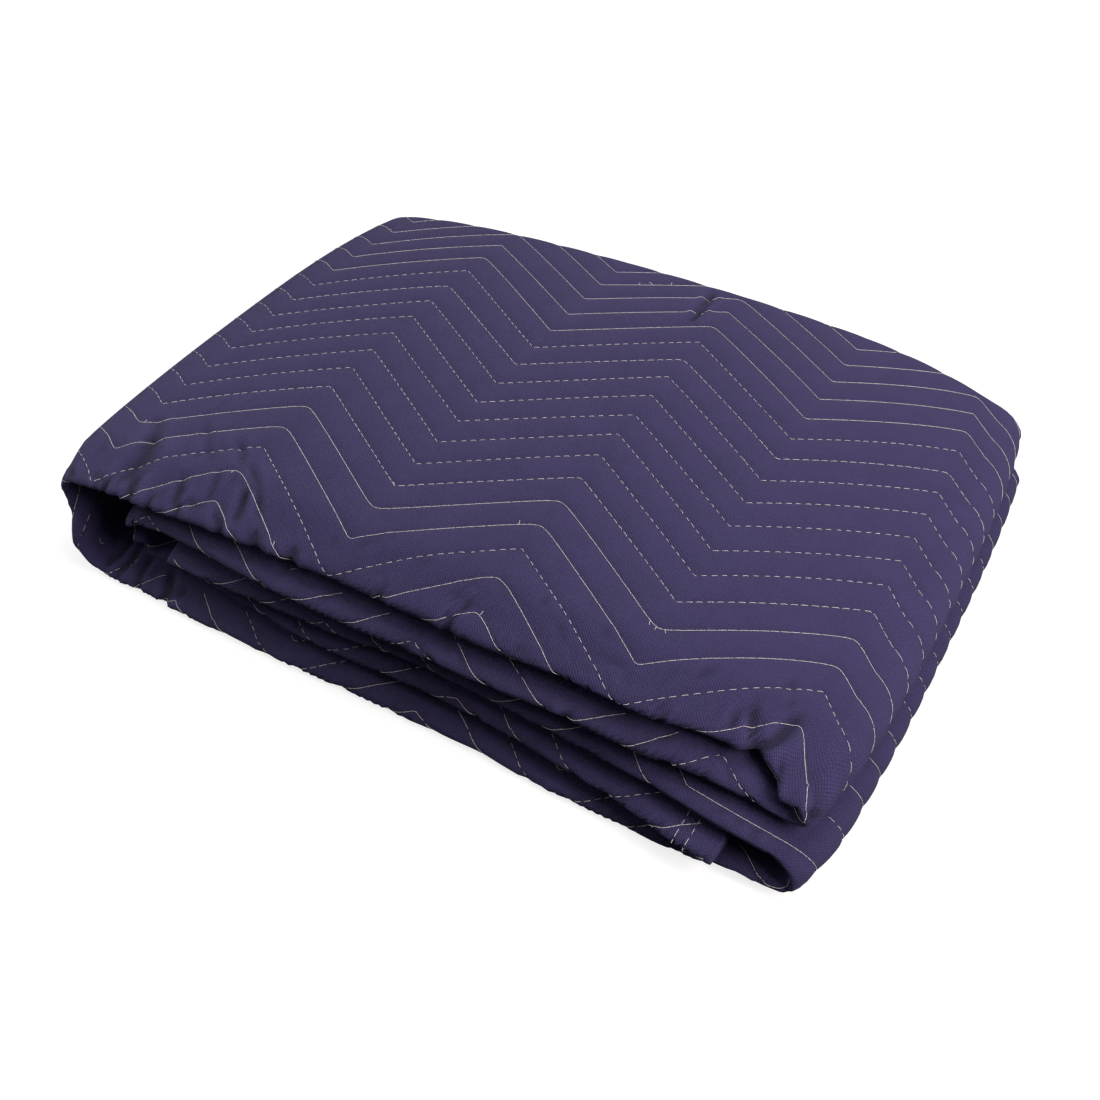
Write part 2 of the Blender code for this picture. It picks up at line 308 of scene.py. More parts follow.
def zigzag(run, row):
    """How far a quilting row stands above its valley, at lengths along the cloth from a valley."""
    phase = (run / HALF_WAVE) % 2
    curve = np.full_like(phase, PLAIN_CURVE)
    for number, size in ROW_CURVE_MM.items():
        curve = np.where(np.round(row) == -number, size * MM, curve)
    soft = curve / HALF_WAVE * 0.35
    from_peak = np.abs(phase - 1)
    from_valley = 1 - from_peak
    cut_off = np.hypot(from_peak, soft) - from_peak
    valley_soft = np.where(np.round(row) == -ROUND_VALLEY_ROW, soft, soft / 3)
    filled_in = np.hypot(from_valley, valley_soft) - from_valley
    return ZIGZAG_HEIGHT * (from_valley - cut_off + filled_in)


def row_place(run, row):
    """Where a quilting row lies across the cloth, at lengths along it."""
    wander = 0.25 * MM * np.sin(run / (23 * MM) + row * 2.1) + 0.2 * MM * np.sin(run / (61 * MM) + row * 4.7)
    bent = ROW_RISE_LEFT * (1 - smooth(-run / (2.5 * HALF_WAVE)))
    bent = bent - ROW_FALL_RIGHT * np.clip(-run - 5 * HALF_WAVE, 0, 0.5 * HALF_WAVE)
    sewn_run = run - np.clip(run - SQUARE_START, 0, SQUARE_LENGTH)
    flat_place = row * ROW_SPACING + ROW_OFFSET + zigzag(sewn_run, row) + wander + bent
    drawn = along_strip(run + FIRST_VALLEY)[4]
    return flat_place - drawn * near_front(flat_place)


def from_row(run, place):
    """Distance of points of the cloth from the nearest quilting row."""
    row = np.floor((place - row_place(run, np.zeros_like(run))) / ROW_SPACING)
    row = np.where(place < row_place(run, row), row - 1, row)
    row = np.where(place >= row_place(run, row + 1), row + 1, row)
    below = place - row_place(run, row)
    above = row_place(run, row + 1) - place
    return np.maximum(np.minimum(below, above), 0.0)


TOP_EASE = 8.0 * MM


def openness(done, width):
    """How freely the outer face can swell: on the top, the ends and the folded edges, not between layers."""
    heading = along_strip(done)[2]
    _, _, face_y, face_n = across_strip(width)
    top_end = TOP_RUN[0] + TOP_RUN[1]
    on_top = smooth((done - TOP_RUN[0]) / TOP_EASE + 1) * smooth((top_end - done) / TOP_EASE + 1)
    upward = np.clip(face_n, 0, 1)
    end_side = np.sin(heading) ** 2 * np.clip(face_n * np.sin(heading), 0, 1)
    return np.clip(np.maximum(np.maximum(on_top * upward, face_y**2), end_side), 0, 1)


def surface(done, width, lift):
    """Points of the cloth, a distance outwards from the middle of its thickness."""
    x, z, heading, setback, drawn = along_strip(done)
    y, n, face_y, face_n = across_strip(width)
    y = y + face_y * lift
    height = n + face_n * lift
    squash = NOSE_SQUASH * smooth((FRONT_TURN + NOSE_REACH - y) / (NOSE_REACH + HALF_STRIP))
    height = height * (1 - squash) + 0.85 * np.cos(heading) * HALF_STRIP * squash
    setback = setback + drawn * near_front(y)
    turn_middle = STRETCHES[1][0] + STRETCHES[1][1] / 2
    moved = smooth(1.5 - np.abs(done - turn_middle) / INNER_TURN_REACH)
    at_nose = smooth((FRONT_TURN + 26 * MM - y) / (34 * MM))
    from_corner, from_low_turn = done - TOP_RUN[0], done - STRETCHES[9][0]
    corner = smooth(from_corner / (18 * MM) + 1.3) * smooth(-from_corner / (12 * MM) + 1.5) * at_nose
    low_lip = smooth(from_low_turn / (26 * MM) + 1.3) * smooth(-from_low_turn / (20 * MM) + 1) * at_nose
    moves = [
        near * moved + right * corner + low * low_lip
        for near, right, low in zip(INNER_TURN_MOVE, CORNER_PUFF, LOW_LIP_PUFF)
    ]
    place_x = x + height * np.sin(heading) + moves[0]
    place_z = np.maximum(z - height * np.cos(heading) + moves[2], 0.0)
    return settle(place_x, y + setback + moves[1], place_z)


# Creases on the flat cloth, in mm: half width, depth, and the points they run through, x along the pile
# and y across it on the top face; past y = -153 they go round the front fold
CREASES = [
    # the front left corner of the top layer
    (2.2, 2.4, ((-22, -142), (-17, -153), (-16, -162))),
    (2.0, 2.3, ((2, -144), (5, -151), (9, -156), (10, -166))),
    (1.8, 1.7, ((-3, -152), (3, -156), (6, -164))),
    (5.0, 1.3, ((14, -156), (20, -143), (22, -130), (15, -111))),
    (3.0, 0.8, ((22, -130), (14, -110), (2, -100))),
    (2.4, 2.4, ((25, -138), (27, -147), (28, -166))),
    (2.0, 1.2, ((38, -150), (41, -156), (43, -168))),
    (2.2, 1.9, ((50, -131), (54, -141), (56, -147), (62, -166))),
    (1.8, 1.3, ((58, -143), (66, -146), (74, -145))),
    (2.0, 1.7, ((84, -141), (80, -148), (86, -158), (90, -168))),
    (1.8, 1.0, ((67, -123), (71, -135), (73, -144))),
    (1.7, 1.1, ((58, -99), (68, -108), (78, -120))),
    (1.7, 1.0, ((74, -111), (90, -124), (106, -144))),
    (2.0, 1.8, ((87, -127), (91, -139), (94, -149))),
    (1.7, 0.6, ((28, -89), (40, -102), (56, -118), (65, -126))),
    (1.7, 0.4, ((33, -77), (37, -87))),
    (1.7, 0.4, ((45, -69), (48, -78))),
    (3.5, 1.4, ((104, -150), (108, -158), (112, -168))),
    # along the front edge of the top layer
    (2.6, 1.3, ((128, -150), (131, -158), (130, -168))),
    (1.9, 1.0, ((174, -149), (182, -160), (184, -168))),
    (1.9, 1.1, ((210, -140), (218, -142), (226, -143))),
    (1.7, 0.9, ((221, -149), (222, -145), (225, -141))),
    (2.1, 1.9, ((215, -150), (218, -156), (221, -167))),
    (1.8, 0.9, ((238, -149), (250, -153), (262, -160))),
    (1.7, 0.6, ((283, -140), (303, -139))),
    (1.9, 1.2, ((318, -144), (325, -155), (328, -166))),
    (1.6, 0.9, ((225, -161), (280, -164), (330, -164), (366, -161))),
    # the pinched front right corner, with its creases spreading from one point
    (3.2, 2.5, ((371, -143), (371, -152), (369, -172))),
    (2.2, 2.0, ((357, -125), (364, -135), (371, -150))),
    (2.0, 1.2, ((354, -129), (356, -139), (361, -152))),
    (2.4, 1.7, ((371, -150), (375, -138), (379, -118))),
    (1.7, 0.9, ((365, -128), (369, -134))),
    (2.4, 0.5, ((370, -114), (367, -106))),
    (2.4, 1.2, ((390, -134), (394, -144), (396, -156))),
    (2.2, 2.6, ((401, -145), (404, -152), (405, -162))),
    (1.8, 1.0, ((380, -150), (384, -158), (384, -168))),
    # the back edge
    (2.1, 1.8, ((212, 144), (213, 134), (215, 113), (217, 96))),
    # the turn inside the hollow, and the crumpled left end of the lowest layer
    (4.0, 4.2, ((787, -215), (788, -180), (786, -150))),
    (2.4, 1.8, ((775, -195), (778, -175), (772, -158))),
    (2.4, 1.8, ((802, -190), (798, -172), (803, -156))),
    (3.0, 2.2, ((-134, -182), (-143, -170), (-141, -156))),
    (2.6, 1.6, ((-157, -174), (-146, -169))),
    (2.6, 2.4, ((-106, -186), (-101, -174), (-92, -162))),
    (2.4, 1.8, ((-98, -188), (-91, -174), (-82, -166))),
    (2.6, 1.8, ((-118, -186), (-114, -172), (-117, -158))),
    # fine wrinkles along the lower bulge
    (1.6, 0.5, ((-529, -150), (-532, -40), (-528, 60), (-531, 140))),
    (1.6, 0.6, ((-543, -160), (-540, -90), (-544, 0), (-541, 90))),
    (1.6, 0.5, ((-553, -140), (-556, -60), (-552, 30), (-555, 130))),
    (1.6, 0.4, ((-563, -150), (-561, -80), (-565, 10))),
]


def row_puckers(chance):
    """Short creases that the thread has drawn up along its rows, where the cloth bends round its front fold."""
    puckers = []
    for row in range(-13, -3):
        at = -0.84
        while at < 1.14:
            at += chance.uniform(7, 20) * MM
            place = float(row_place(np.array([-at]), np.array([float(row)]))[0])
            if not FRONT_TURN - 24 * MM < place < FRONT_TURN + (34 * MM if -0.03 < at < 0.42 else 4 * MM):
                continue
            slope = chance.normal(0, 0.35) - (0.6 if (-at / HALF_WAVE) % 2 < 1 else -0.6)
            reach = chance.uniform(3, 8) * (1 if chance.random() < 0.5 else -1)
            x, y = at / MM, place / MM
            path = ((x - reach * slope * 0.3, y - reach * 0.3), (x + reach * slope, y + reach))
            on_top = -0.03 < at < 0.42
            if on_top and place < FRONT_TURN + 6 * MM and chance.random() < 0.7:
                continue
            depth = chance.uniform(0.3, 0.8) * (0.8 if on_top else 1.0)
            puckers.append((chance.uniform(1.4, 2.1), depth, path))
    return puckers


CREASES += row_puckers(np.random.default_rng(3))
CREASE_SPANS = np.array([
    (min(x for x, _ in path) - 4 * half_width, max(x for x, _ in path) + 4 * half_width)
    for half_width, _, path in CREASES
]) * MM
CREASE_FADE = 0.3
CREASE_RIM = 0.35
CREASE_STRENGTH = 1.9


def crease_depth(x, place):
    """How deep the creases press the cloth's outer face in, with a low rim beside each."""
    pressed = np.zeros_like(x)
    close = (CREASE_SPANS[:, 0] < x.max()) & (CREASE_SPANS[:, 1] > x.min())
    for number in np.flatnonzero(close):
        half_width, depth, path = CREASES[number]
        low, high = CREASE_SPANS[number]
        here = (x > low) & (x < high)
        at_x, at_y = x[here], place[here]
        corners = np.array(path) * MM
        steps = np.diff(corners, axis=0)
        lengths = np.hypot(steps[:, 0], steps[:, 1])
        nearest, travelled, begun = np.full_like(at_x, 9.0), np.zeros_like(at_x), 0.0
        for corner, step, length in zip(corners, steps, lengths):
            share = np.clip(((at_x - corner[0]) * step[0] + (at_y - corner[1]) * step[1]) / length**2, 0, 1)
            away = np.hypot(at_x - corner[0] - share * step[0], at_y - corner[1] - share * step[1])
            travelled = np.where(away < nearest, begun + share * length, travelled)
            nearest = np.minimum(away, nearest)
            begun += length
        fade = smooth(np.minimum(travelled, begun - travelled) / (CREASE_FADE * begun))
        ratio = nearest / (half_width * MM)
        trough = np.exp(-1.2 * ratio) - CREASE_RIM * np.exp(-(((ratio - 2.3) / 0.9) ** 2))
        pressed[here] += CREASE_STRENGTH * depth * MM * fade * trough
    return pressed


def creased(run, place):
    """How deep the cloth is creased: on the top face a crease's place is where it lies in the pile."""
    drawn = along_strip(run + FIRST_VALLEY)[4] * near_front(place) * (place > FRONT_TURN - 1 * MM)
    return crease_depth(-run, place + drawn)


def outer_lift(done, width):
    """How far the outer face stands from the middle of the cloth's thickness."""
    run, place = done - FIRST_VALLEY, TOP_LEVEL_ZERO - width
    swell = PUFF * (1 - np.exp(-from_row(run, place) / PUFF_SHOULDER)) * openness(done, width)
    return PLY_THICKNESS / 2 + swell - creased(run, place)


def spread(start, end, spacing):
    """Evenly spaced places from a start up to, and without, an end."""
    count = max(1, round(abs(end - start) / spacing))
    return [start + (end - start) * index / count for index in range(count)]


# Where points stand between two quilting rows, as shares of their spacing: close beside the thread
FRONT_SHARES = (0.0, 0.07, 0.18, 0.34, 0.5, 0.66, 0.82, 0.93)
BACK_SHARES = (0.0, 0.1, 0.3, 0.7, 0.9)
LAST_FRONT_ROW = -4


def row_points(done, low, high):
    """Places across the cloth that ride on the quilting rows and between them."""
    first_row = math.floor((TOP_LEVEL_ZERO - high - ZIGZAG_HEIGHT) / ROW_SPACING) - 1
    last_row = math.ceil((TOP_LEVEL_ZERO - low) / ROW_SPACING) + 1
    rows = np.arange(first_row, last_row + 1, dtype=float)
    rides = row_place(np.full_like(rows, done - FIRST_VALLEY), rows)
    between = [
        row + share
        for row in range(first_row, last_row)
        for share in (FRONT_SHARES if row <= LAST_FRONT_ROW else BACK_SHARES)
    ][::-1]
    slid = TOP_LEVEL_ZERO - np.interp(between, rows, rides)
    margin = 0.4 * MM
    kept = slid[(slid > low + margin) & (slid < high - margin)]
    before = int((slid <= low + margin).sum())
    after = int((slid >= high - margin).sum())
    first = [low + (kept[0] - low) * (index + 1) / (before + 1) for index in range(before)]
    last = [kept[-1] + (high - kept[-1]) * (index + 1) / (after + 1) for index in range(after)]
    return [*first, *kept, *last]


UNDER_MARGIN = 12.0 * MM
FOLD_MARGIN = 10.0 * MM
HIDDEN_SPACING = 120.0 * MM


def ring_places(done, fine):
    """Places round one section of the cloth: its outer face from hem to hem, and its inner face back."""
    outer = []
    for index in range(5):
        outer += spread(ACROSS[index], ACROSS[index + 1], HIDDEN_SPACING if index % 2 == 0 else 2.6 * MM)
    outer += spread(ACROSS[5], ACROSS[6], 0.9 * MM)
    low = ACROSS[TOP_PLY] if fine else ACROSS[FRONT_FOLD] - FOLD_MARGIN
    high = ACROSS[UNDER_PLY] + UNDER_MARGIN
    if not fine:
        outer += spread(ACROSS[TOP_PLY], low, HIDDEN_SPACING)
    outer.append(low)
    outer += row_points(done, low, high)
    outer += spread(high, ACROSS[BACK_FOLD], HIDDEN_SPACING)
    outer += spread(ACROSS[BACK_FOLD], ACROSS[BACK_FOLD + 1], 1.5 * MM)
    outer += spread(ACROSS[10], ACROSS[11], HIDDEN_SPACING)
    outer.append(ACROSS[-1])
    inner = [ACROSS[-1]]
    for index in range(10, -1, -1):
        inner += spread(ACROSS[index + 1], ACROSS[index], HIDDEN_SPACING if index % 2 == 0 else 7.0 * MM)[1:]
        inner.append(ACROSS[index])
    return outer, inner


def station_places():
    """Lengths along the strip where a section stands, and whether it is a fine one."""
    placed = []
    for number, (start, length, *_, sweep, first, second) in enumerate(STRETCHES):
        fine = number in (3, 4, 5, 6, 7, 9)
        if sweep:
            step = 2.4 * MM if fine else 3.4 * MM
            cuts = np.linspace(start, start + length, max(6, round(length / step)) + 1)
        elif number == 6:
            cuts = np.linspace(start, start + length, round(length / (2.4 * MM)) + 1)
        else:
            unit = HALF_WAVE / (48 if number == 4 else 36)
            first_cut = math.ceil((start - FIRST_VALLEY) / unit + 0.2)
            last_cut = math.floor((start + length - FIRST_VALLEY) / unit - 0.2)
            inside = [
                FIRST_VALLEY + unit * index
                for index in range(first_cut, last_cut + 1)
                if index % 2 == 0 or number == 4 and not 112 * MM < -unit * index < 338 * MM
                or number == 8 and unit * index < 185 * MM
            ]
            cuts = np.array([start, *inside, start + length])
        for cut in cuts[(1 if placed else 0):]:
            placed.append((float(cut), fine))
    return placed


def cloth_mesh():
    """Skins the sections: each ring of points is joined to the next, with more points where more shows."""
    points, faces, lengths, widths = [], [], [], []
    previous = None
    for done, fine in station_places():
        outer, inner = ring_places(done, fine)
        width = np.array(outer + inner)
        along = np.full_like(width, done)
        outside = np.arange(len(width)) < len(outer)
        lift = np.where(outside, outer_lift(along, width), -PLY_THICKNESS / 2)
        ring = surface(along, width, lift)
        offset = len(points)
        points.extend(ring.tolist())
        lengths.extend(along.tolist())
        widths.extend(width.tolist())
        order = np.where(outside, width, 2 * ACROSS[-1] - width + 1 * MM)
        current = (offset, order)
        if previous is None:
            faces.append(tuple(range(offset, offset + len(width))))
        else:
            faces.extend(joined(previous, current))
        previous = current
    faces.append(tuple(reversed(range(previous[0], previous[0] + len(previous[1])))))
    return points, faces, lengths, widths


def joined(near, far):
    """Faces between two rings: four-sided where they have as many points, three-sided where they don't."""
    (near_start, near_order), (far_start, far_order) = near, far
    near_count, far_count = len(near_order), len(far_order)
    if near_count == far_count:
        return [
            (
                near_start + index,
                far_start + index,
                far_start + (index + 1) % near_count,
                near_start + (index + 1) % near_count,
            )
            for index in range(near_count)
        ]
    whole = 2 * ACROSS[-1] + 2 * MM
    near_next = np.append(near_order[1:], whole)
    far_next = np.append(far_order[1:], whole)
    made = []
    i = j = 0
    while i < near_count or j < far_count:
        corner_near = near_start + i % near_count
        corner_far = far_start + j % far_count
        if j >= far_count or (i < near_count and near_next[i] <= far_next[j]):
            made.append((corner_near, corner_far, near_start + (i + 1) % near_count))
            i += 1
        else:
            made.append((corner_near, corner_far, far_start + (j + 1) % far_count))
            j += 1
    return made


def linear(hex_colour):
    """An sRGB hex colour as the linear one that a shader takes."""
    channels = [int(hex_colour[place : place + 2], 16) / 255 for place in (1, 3, 5)]
    return [c / 12.92 if c <= 0.04045 else ((c + 0.055) / 1.055) ** 2.4 for c in channels] + [1.0]


def node(tree, kind, settings, links):
    """Adds a node with its settings and the links into its inputs."""
    made = tree.nodes.new(kind)
    for name, value in settings.items():
        if isinstance(name, int) or name in made.inputs:
            made.inputs[name].default_value = value
        else:
            setattr(made, name, value)
    for name, source in links.items():
        tree.links.new(source, made.inputs[name])
    return made


WEAVE_PITCH = 0.75 * MM


def indigo_percale():
    """Piece-dyed cotton and polyester percale: matt, with an even weave, slubs and a faint bloom of fibres, and
    with painted shade in its creases and stitch grooves.

    Real percale has three threads a millimetre: the weave is drawn about twice as coarse so that it shows.
    """
    material = bpy.data.materials.new("indigo_cotton_polyester_percale")
    material.use_nodes = True
    tree = material.node_tree
    shader = tree.nodes["Principled BSDF"]
    shader.inputs["Roughness"].default_value = 0.86
    shader.inputs["IOR"].default_value = 1.47
    shader.inputs["Specular IOR Level"].default_value = 0.3
    shader.inputs["Sheen Weight"].default_value = 0.12
    shader.inputs["Sheen Roughness"].default_value = 0.5
    shader.inputs["Sheen Tint"].default_value = linear("#c8bfe0")

    flat_cloth = node(tree, "ShaderNodeUVMap", {"uv_map": "flat_cloth"}, {})
    place = flat_cloth.outputs["UV"]
    parts = node(tree, "ShaderNodeSeparateXYZ", {}, {"Vector": place})
    threads = []
    for axis in ("X", "Y"):
        turn = node(
            tree, "ShaderNodeMath", {"operation": "MULTIPLY", 1: math.pi / WEAVE_PITCH}, {0: parts.outputs[axis]}
        )
        threads.append(node(tree, "ShaderNodeMath", {"operation": "SINE"}, {0: turn.outputs[0]}).outputs[0])
    weave = node(tree, "ShaderNodeMath", {"operation": "MULTIPLY"}, {0: threads[0], 1: threads[1]})

    lengthwise = node(tree, "ShaderNodeMapping", {"Scale": (120.0, 2600.0, 1.0)}, {"Vector": place})
    slubs = node(tree, "ShaderNodeTexNoise", {"Scale": 1.0, "Detail": 3.0}, {"Vector": lengthwise.outputs[0]})
    mottle = node(
        tree, "ShaderNodeTexNoise", {"Scale": 55.0, "Detail": 5.0, "Roughness": 0.65}, {"Vector": place}
    )
    fibre = node(tree, "ShaderNodeTexNoise", {"Scale": 1500.0, "Detail": 2.0}, {"Vector": place})

    slub_tone = node(
        tree, "ShaderNodeMapRange", {"From Min": 0.3, "From Max": 0.7, "To Min": -0.05, "To Max": 0.05},
        {"Value": slubs.outputs["Fac"]},
    )
    mottle_tone = node(
        tree, "ShaderNodeMapRange", {"From Min": 0.3, "From Max": 0.7, "To Min": 0.92, "To Max": 1.08},
        {"Value": mottle.outputs["Fac"]},
    )
    fibre_tone = node(
        tree, "ShaderNodeMapRange", {"From Min": 0.3, "From Max": 0.7, "To Min": -0.22, "To Max": 0.22},
        {"Value": fibre.outputs["Fac"]},
    )
    tone_and_painted_shade = node(
        tree, "ShaderNodeMath", {"operation": "ADD"}, {0: slub_tone.outputs[0], 1: mottle_tone.outputs[0]}
    )
    tone_and_painted_shade = node(
        tree, "ShaderNodeMath", {"operation": "ADD"}, {0: tone_and_painted_shade.outputs[0], 1: fibre_tone.outputs[0]}
    )
    # Painted shade: the base colour darkens in the creases and the stitch grooves, where shade falls, and lightens
    # a little on the rims beside the creases
    pressed = node(tree, "ShaderNodeAttribute", {"attribute_name": "crease_and_groove_shade"}, {})
    deep = node(
        tree, "ShaderNodeMapRange", {"From Min": -0.5, "From Max": 1.8, "To Min": 1.06, "To Max": 0.42},
        {"Value": pressed.outputs["Fac"]},
    )
    tone_and_painted_shade = node(tree, "ShaderNodeMath", {"operation": "MULTIPLY"}, {0: tone_and_painted_shade.outputs[0], 1: deep.outputs[0]})
    crossing = node(
        tree, "ShaderNodeMath", {"operation": "MULTIPLY_ADD", 1: 0.09, 2: 1.0}, {0: weave.outputs[0]}
    )
    tone_and_painted_shade = node(
        tree, "ShaderNodeMath", {"operation": "MULTIPLY"}, {0: tone_and_painted_shade.outputs[0], 1: crossing.outputs[0]}
    )
    dye = node(tree, "ShaderNodeRGB", {}, {})
    dye.outputs[0].default_value = linear("#38325a")
    shade = node(
        tree, "ShaderNodeVectorMath", {"operation": "SCALE"}, {0: dye.outputs[0], "Scale": tone_and_painted_shade.outputs[0]}
    )
    tree.links.new(shade.outputs[0], shader.inputs["Base Color"])

    crumple = node(tree, "ShaderNodeTexNoise", {"Scale": 90.0, "Detail": 3.0}, {"Vector": place})
    crumpled = node(
        tree, "ShaderNodeBump", {"Strength": 0.35, "Distance": 0.9 * MM}, {"Height": crumple.outputs["Fac"]}
    )
    gathered = node(tree, "ShaderNodeAttribute", {"attribute_name": "gathered"}, {})
    crinkle = node(
        tree, "ShaderNodeTexNoise",
        {"noise_type": "RIDGED_MULTIFRACTAL", "Scale": 120.0, "Detail": 2.5, "Roughness": 0.45, "Distortion": 0.4},
        {"Vector": place},
    )
    crinkle = node(
        tree, "ShaderNodeMath", {"operation": "MULTIPLY"}, {0: crinkle.outputs[0], 1: gathered.outputs["Fac"]}
    )
    crinkled = node(
        tree, "ShaderNodeBump", {"Strength": 0.5, "Distance": 1.1 * MM},
        {"Height": crinkle.outputs[0], "Normal": crumpled.outputs[0]},
    )
    fuzzy = node(
        tree, "ShaderNodeBump", {"Strength": 0.6, "Distance": 0.16 * MM},
        {"Height": fibre.outputs["Fac"], "Normal": crinkled.outputs[0]},
    )
    woven = node(
        tree, "ShaderNodeBump", {"Strength": 0.8, "Distance": 0.16 * MM},
        {"Height": weave.outputs[0], "Normal": fuzzy.outputs[0]},
    )
    tree.links.new(woven.outputs[0], shader.inputs["Normal"])
    return material


points, faces, lengths, widths = cloth_mesh()
cloth_data = bpy.data.meshes.new("quilted_cloth")
cloth_data.from_pydata(points, [], faces)
flat_map = cloth_data.uv_layers.new(name="flat_cloth")
corner_points = np.zeros(len(cloth_data.loops), dtype=np.int32)
cloth_data.loops.foreach_get("vertex_index", corner_points)
flat_places = np.stack((np.array(lengths) - FIRST_VALLEY, TOP_LEVEL_ZERO - np.array(widths)), axis=-1)
flat_map.data.foreach_set("uv", flat_places[corner_points].astype(np.float32).ravel())
cloth_data.polygons.foreach_set("use_smooth", np.ones(len(cloth_data.polygons), dtype=bool))
run_of_points, place_of_points = np.array(lengths) - FIRST_VALLEY, TOP_LEVEL_ZERO - np.array(widths)
# Painted shade: how much darker the base colour is drawn in the creases and in the grooves beside the quilting
# rows, where shade falls, and a little lighter on the low rims beside the creases
crease_and_groove_shade = creased(run_of_points, place_of_points) / MM + 0.35 * np.exp(
    -from_row(run_of_points, place_of_points) / (1.6 * MM)
)
# Where the thread or a fold gathers the cloth, the material draws fine crinkles
close_to_row = np.exp(-from_row(run_of_points, place_of_points) / (3.5 * MM))
round_fold = smooth((FRONT_TURN + 12 * MM - place_of_points) / (16 * MM))
left_corner = smooth((run_of_points + 110 * MM) / (70 * MM)) * smooth((-90 * MM - place_of_points) / (40 * MM))
gathered = np.clip(0.25 * close_to_row + round_fold + 0.6 * left_corner, 0, 1)
for name, values in (("crease_and_groove_shade", crease_and_groove_shade), ("gathered", gathered)):
    cloth_data.attributes.new(name, "FLOAT", "POINT").data.foreach_set("value", values.astype(np.float32))
cloth_data.materials.append(indigo_percale())
cloth = bpy.data.objects.new("folded_cloth", cloth_data)
bpy.context.scene.collection.objects.link(cloth)
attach(cloth, "root")
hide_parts("blanket")

# The quilting thread: undyed cotton and polyester, lock-stitched from cover to cover, five stitches an inch.
# Each stitch comes up out of its needle hole, lies in the groove that it has pulled, and goes down again.

STITCH_LENGTH = 4.9 * MM
THREAD_RADIUS = 0.135 * MM
# Rows sewn with a tight thread, whose stitches sink in and show apart, and the share of each that sinks
SUNK_SHARE = {2: 0.3, 3: 0.26, 4: 0.3, 8: 0.28, 1: 0.2, 0: 0.2, -1: 0.14, -2: 0.22, 5: 0.16, 11: 0.24}
PLAIN_SUNK_SHARE = 0.0
STITCH_STEPS = 5
THREAD_SIDES = 5


def showing(done, width):
    """Whether a stitch lies where it can be seen: on the top, the ends and the folded edges."""
    outer_parts = np.zeros(done.shape, dtype=bool)
    for number in (3, 4, 5, 6, 7, 9):
        start, length = STRETCHES[number][:2]
        outer_parts |= (done > start - 6 * MM) & (done < start + length + 6 * MM)
    inner_start, inner_length = STRETCHES[1][:2]
    inner_turn = (done > inner_start - 8 * MM) & (done < inner_start + inner_length + 8 * MM)
    top = outer_parts & (width > ACROSS[5]) & (width < ACROSS[UNDER_PLY] + 5 * MM)
    front = (width > ACROSS[FRONT_FOLD] - 7 * MM) & (width < ACROSS[UNDER_PLY] + 6 * MM)
    inside = inner_turn & (width > ACROSS[FRONT_FOLD]) & (width < ACROSS[UNDER_PLY] + 90 * MM)
    back = (width > ACROSS[BACK_FOLD] - 4 * MM) & (width < ACROSS[BACK_FOLD + 1] + 1 * MM)
    edge = (width > ACROSS[5] - 1 * MM) & (width < ACROSS[6] + 3 * MM)
    return top | front | inside | back | edge


def stitched(along, width, sunk, chance):
    """The stitches of a sewn line: lengths along the strip and across the cloth of each one's points."""
    travelled = np.concatenate(([0.0], np.cumsum(np.hypot(np.diff(along), np.diff(width)))))
    starts = np.arange(chance.random() * STITCH_LENGTH, travelled[-1] - STITCH_LENGTH, STITCH_LENGTH)
    starts = starts + chance.normal(0, 0.15 * MM, len(starts))
    begin = starts + STITCH_LENGTH * sunk / 2 * chance.uniform(0.7, 1.3, len(starts))
    end = starts + STITCH_LENGTH * (1 - sunk / 2 * chance.uniform(0.7, 1.3, len(starts)))
    places = begin[:, None] + (end - begin)[:, None] * np.linspace(0, 1, STITCH_STEPS)
    return np.interp(places, travelled, along), np.interp(places, travelled, width), np.full(len(starts), sunk)


def row_stitches(row, chance):
    """The stitches of a quilting row that show."""
    along = np.arange(3 * MM, STRIP_LENGTH - 3 * MM, 0.5 * MM)
    width = TOP_LEVEL_ZERO - row_place(along - FIRST_VALLEY, np.full_like(along, float(row)))
    stitches = stitched(along, width, SUNK_SHARE.get(-row, PLAIN_SUNK_SHARE), chance)
    middle = STITCH_STEPS // 2
    inside = (stitches[1].min(axis=1) > ACROSS[5]) & (stitches[1].max(axis=1) < ACROSS[BACK_FOLD + 1])
    kept = inside & showing(stitches[0][:, middle], stitches[1][:, middle])
    return [part[kept] for part in stitches]


